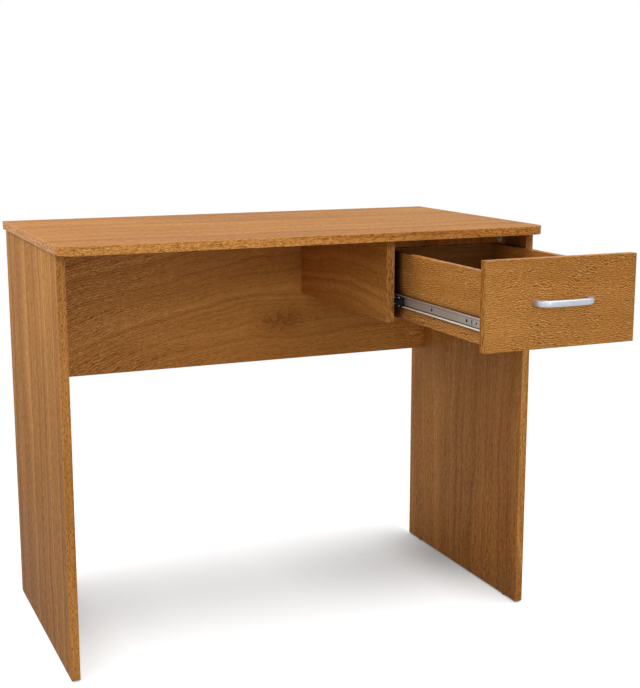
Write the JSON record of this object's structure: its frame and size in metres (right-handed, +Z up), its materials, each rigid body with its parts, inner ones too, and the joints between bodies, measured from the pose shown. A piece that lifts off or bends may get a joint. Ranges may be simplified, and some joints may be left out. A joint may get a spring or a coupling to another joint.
{
  "type": "office desk",
  "caption": "Wood-effect writing desk with panel sides, a modesty panel and a handled drawer that runs out on ball-bearing slides under the right of its top.",
  "frame": {"origin": "on the floor, midway across and midway from the handle to the top's rear edge with the drawer open as shown", "axes": "+X to the sitter's right, +Y towards the back of the desk, +Z up"},
  "size_m": [0.9, 0.809, 0.745],
  "materials": {
    "board": "satin honey-oak melamine",
    "edge_band": "satin honey-oak edge band",
    "hardboard": "smooth hardboard",
    "dowel_wood": "plain beech",
    "zinc_steel": "bright zinc plate",
    "cam_zinc": "cast zinc",
    "black_steel": "black phosphate",
    "black_plastic": "matt black",
    "ball_steel": "polished",
    "satin_metal": "satin silver"
  },
  "bodies": {
    "carcass": {"desk_top": "board", "left_side_panel": "board", "right_side_panel": "board", "modesty_panel": "board", "drawer_partition": "board", "top_edge_band": "edge_band", "left_panel_edge_bands": "edge_band", "right_panel_edge_bands": "edge_band", "modesty_edge_band": "edge_band", "partition_edge_bands": "edge_band", "top_dowels": "dowel_wood", "modesty_dowels": "dowel_wood", "corner_brackets": "zinc_steel", "bracket_screws": "zinc_steel", "partition_screws": "zinc_steel", "modesty_cam_bolts": "zinc_steel", "glide_nails": "zinc_steel", "left_slide_cabinet_rail": "zinc_steel", "right_slide_cabinet_rail": "zinc_steel", "modesty_cam_locks": "cam_zinc", "cabinet_rail_screws": "black_steel", "front_left_glide": "black_plastic", "front_right_glide": "black_plastic", "rear_left_glide": "black_plastic", "rear_right_glide": "black_plastic"},
    "drawer": {"drawer_front": "board", "drawer_front_edge_bands": "edge_band", "drawer_left_side": "board", "drawer_right_side": "board", "drawer_back": "board", "drawer_bottom": "hardboard", "drawer_box_edge_bands": "edge_band", "drawer_cam_locks": "cam_zinc", "drawer_cam_bolts": "zinc_steel", "drawer_back_screws": "zinc_steel", "drawer_bottom_screws": "zinc_steel", "drawer_handle": "satin_metal", "handle_screws": "zinc_steel", "left_slide_drawer_channel": "zinc_steel", "right_slide_drawer_channel": "zinc_steel", "drawer_channel_screws": "black_steel"},
    "left_slide_middle": {"left_slide_middle_member": "black_steel"},
    "left_outer_cage": {"left_outer_ball_cage": "black_plastic", "left_outer_balls": "ball_steel"},
    "left_inner_cage": {"left_inner_ball_cage": "black_plastic", "left_inner_balls": "ball_steel"},
    "right_slide_middle": {"right_slide_middle_member": "black_steel"},
    "right_outer_cage": {"right_outer_ball_cage": "black_plastic", "right_outer_balls": "ball_steel"},
    "right_inner_cage": {"right_inner_ball_cage": "black_plastic", "right_inner_balls": "ball_steel"}
  },
  "joints": [
    {"name": "drawer_slide", "type": "slide", "parent": "carcass", "child": "drawer", "axis": [0, -1, 0], "range_m": [-0.306, 0.044]},
    {"name": "left_middle_slide", "type": "slide", "parent": "carcass", "child": "left_slide_middle", "axis": [0, -1, 0], "range_m": [-0.0459, 0.0066]},
    {"name": "left_outer_cage_slide", "type": "slide", "parent": "carcass", "child": "left_outer_cage", "axis": [0, -1, 0], "range_m": [-0.02295, 0.0033]},
    {"name": "left_inner_cage_slide", "type": "slide", "parent": "left_slide_middle", "child": "left_inner_cage", "axis": [0, -1, 0], "range_m": [-0.13005, 0.0187]},
    {"name": "right_middle_slide", "type": "slide", "parent": "carcass", "child": "right_slide_middle", "axis": [0, -1, 0], "range_m": [-0.0459, 0.0066]},
    {"name": "right_outer_cage_slide", "type": "slide", "parent": "carcass", "child": "right_outer_cage", "axis": [0, -1, 0], "range_m": [-0.02295, 0.0033]},
    {"name": "right_inner_cage_slide", "type": "slide", "parent": "right_slide_middle", "child": "right_inner_cage", "axis": [0, -1, 0], "range_m": [-0.13005, 0.0187]}
  ],
  "couplings": [
    {"joint": "left_middle_slide", "follows": "drawer_slide", "ratio": 0.15},
    {"joint": "left_outer_cage_slide", "follows": "drawer_slide", "ratio": 0.075},
    {"joint": "left_inner_cage_slide", "follows": "drawer_slide", "ratio": 0.425},
    {"joint": "right_middle_slide", "follows": "drawer_slide", "ratio": 0.15},
    {"joint": "right_outer_cage_slide", "follows": "drawer_slide", "ratio": 0.075},
    {"joint": "right_inner_cage_slide", "follows": "drawer_slide", "ratio": 0.425}
  ]
}
